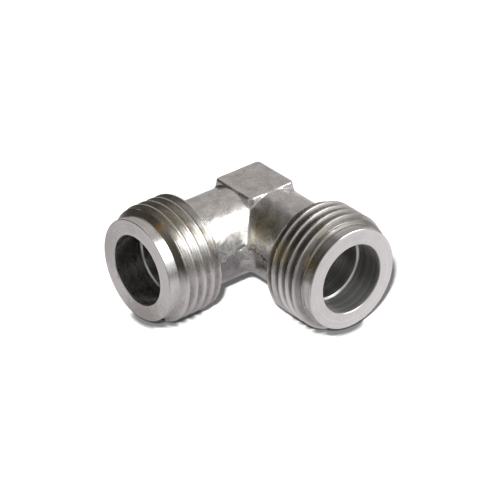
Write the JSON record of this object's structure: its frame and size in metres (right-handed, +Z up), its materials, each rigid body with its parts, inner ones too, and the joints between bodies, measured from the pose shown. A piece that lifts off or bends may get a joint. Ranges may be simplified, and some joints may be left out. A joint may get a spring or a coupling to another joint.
{
  "type": "hydraulic elbow adapter",
  "caption": "Forged 90 degree elbow adapter with a male parallel pipe thread on each arm, square spanner flats at the corner and a through bore.",
  "frame": {"origin": "on the lower spanner flat, straight below the point where the two port axes cross", "axes": "+X out of one port, +Y out of the other, +Z up, square to the spanner flats; both port axes lie 8.1 mm above the origin"},
  "size_m": [0.0365, 0.0365, 0.021],
  "materials": {
    "plated_steel": "bright plating, turned and threaded at the ends, fine forged skin on the body"
  },
  "bodies": {
    "root": {"elbow_body": "plated_steel"}
  },
  "joints": []
}
